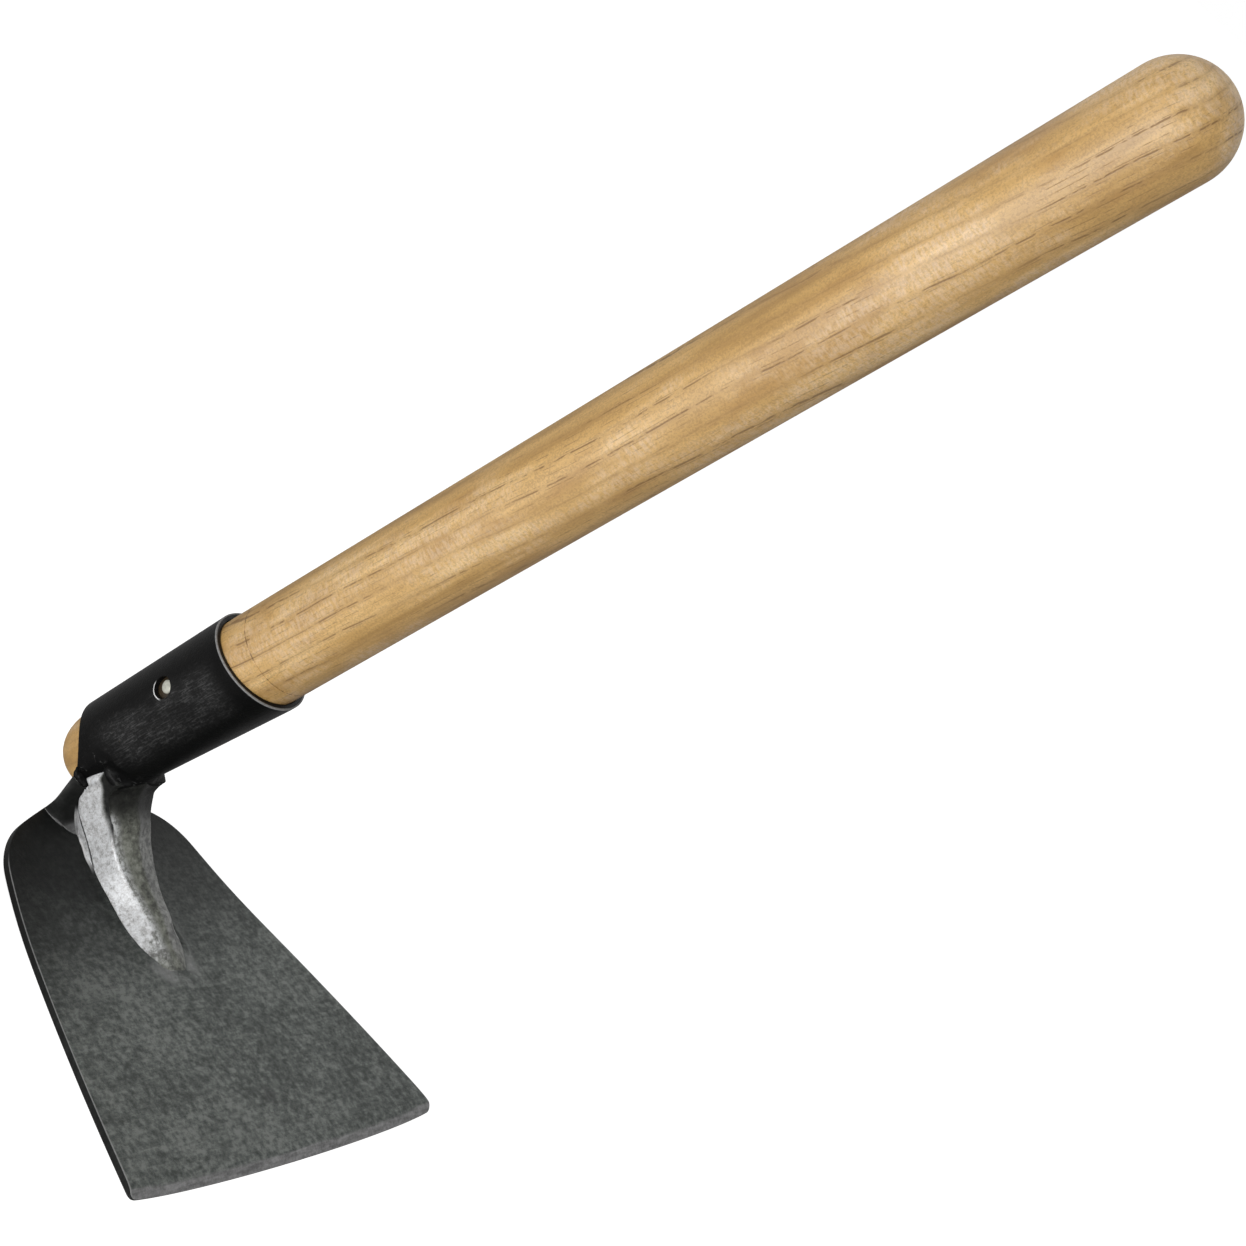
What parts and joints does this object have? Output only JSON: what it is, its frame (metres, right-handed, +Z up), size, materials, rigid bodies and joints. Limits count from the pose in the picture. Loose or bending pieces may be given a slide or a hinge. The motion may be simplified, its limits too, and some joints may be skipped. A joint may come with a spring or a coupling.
{
  "type": "hand hoe",
  "caption": "Short hand hoe: a flared steel blade with a dished neck, welded to a tapered socket with a ridged tang in the corner, on a straight round wooden handle held by a nail.",
  "frame": {"origin": "centre of the bounding box's base: the floor that the blade's flat back lies on", "axes": "+Z up, away from the floor, with the handle leaning 18.8 degrees from it towards +X; +X from the neck to the cutting edge; +Y across the blade, with the nail on the -Y side"},
  "size_m": [0.165, 0.1508, 0.4389],
  "materials": {
    "forged_blade": "dark forge scale, clear lacquered, with a bare ground band at the cutting edge",
    "black_socket": "satin black with fine scuffs",
    "ground_tang": "coarsely ground bright flanks, darker ridge",
    "weld_bead": "rippled bead, partly blackened",
    "oiled_wood": "turned and oiled, open grained",
    "nail_steel": "pale plated"
  },
  "bodies": {
    "root": {"blade_plate": "forged_blade", "socket": "black_socket", "tang": "ground_tang", "neck_weld": "weld_bead", "saddle_weld": "weld_bead", "handle": "oiled_wood", "nail": "nail_steel"}
  },
  "joints": []
}
